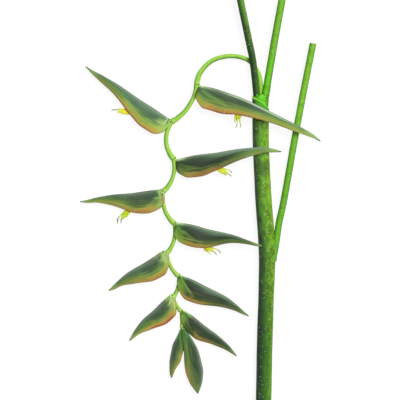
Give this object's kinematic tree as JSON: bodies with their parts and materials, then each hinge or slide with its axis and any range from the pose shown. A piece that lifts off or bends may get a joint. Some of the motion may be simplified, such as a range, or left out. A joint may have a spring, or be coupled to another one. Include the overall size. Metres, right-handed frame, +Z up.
{
  "type": "heliconia flower stem",
  "caption": "Cut stem of a hanging heliconia lying on its side, with leaf stalks, a zigzag flower stalk, folded boat-shaped bracts and small flowers.",
  "frame": {"origin": "on the surface that the stem lies on, under the middle of the whole piece", "axes": "+Z up from the surface, +Y along the stem from its cut foot towards the leaf stalks' cut ends, +X towards the side on which the stem runs, so that the flower stalk hangs towards -Y on the -X side"},
  "size_m": [0.3599, 0.6181, 0.0412],
  "materials": {
    "stem_skin": "satin",
    "leaf_stalk_skin": "satin",
    "dark_leaf_stalk_skin": "satin",
    "flower_stalk_skin": "satin",
    "bract_skin": "satin",
    "flower_skin": "satin"
  },
  "bodies": {
    "root": {"pseudostem": "stem_skin", "leaf_stalk_right": "leaf_stalk_skin", "leaf_stalk_left": "dark_leaf_stalk_skin", "leaf_stalk_lower": "leaf_stalk_skin", "flower_stalk": "flower_stalk_skin", "bract_1": "bract_skin", "bract_2": "bract_skin", "bract_3": "bract_skin", "bract_4": "bract_skin", "bract_5": "bract_skin", "bract_6": "bract_skin", "bract_7": "bract_skin", "bract_8": "bract_skin", "bract_9": "bract_skin", "bract_tip_right": "bract_skin", "bract_tip_left": "bract_skin", "flower_1": "flower_skin", "flower_2": "flower_skin", "flower_3": "flower_skin", "flower_4": "flower_skin", "flower_5": "flower_skin"}
  },
  "joints": []
}
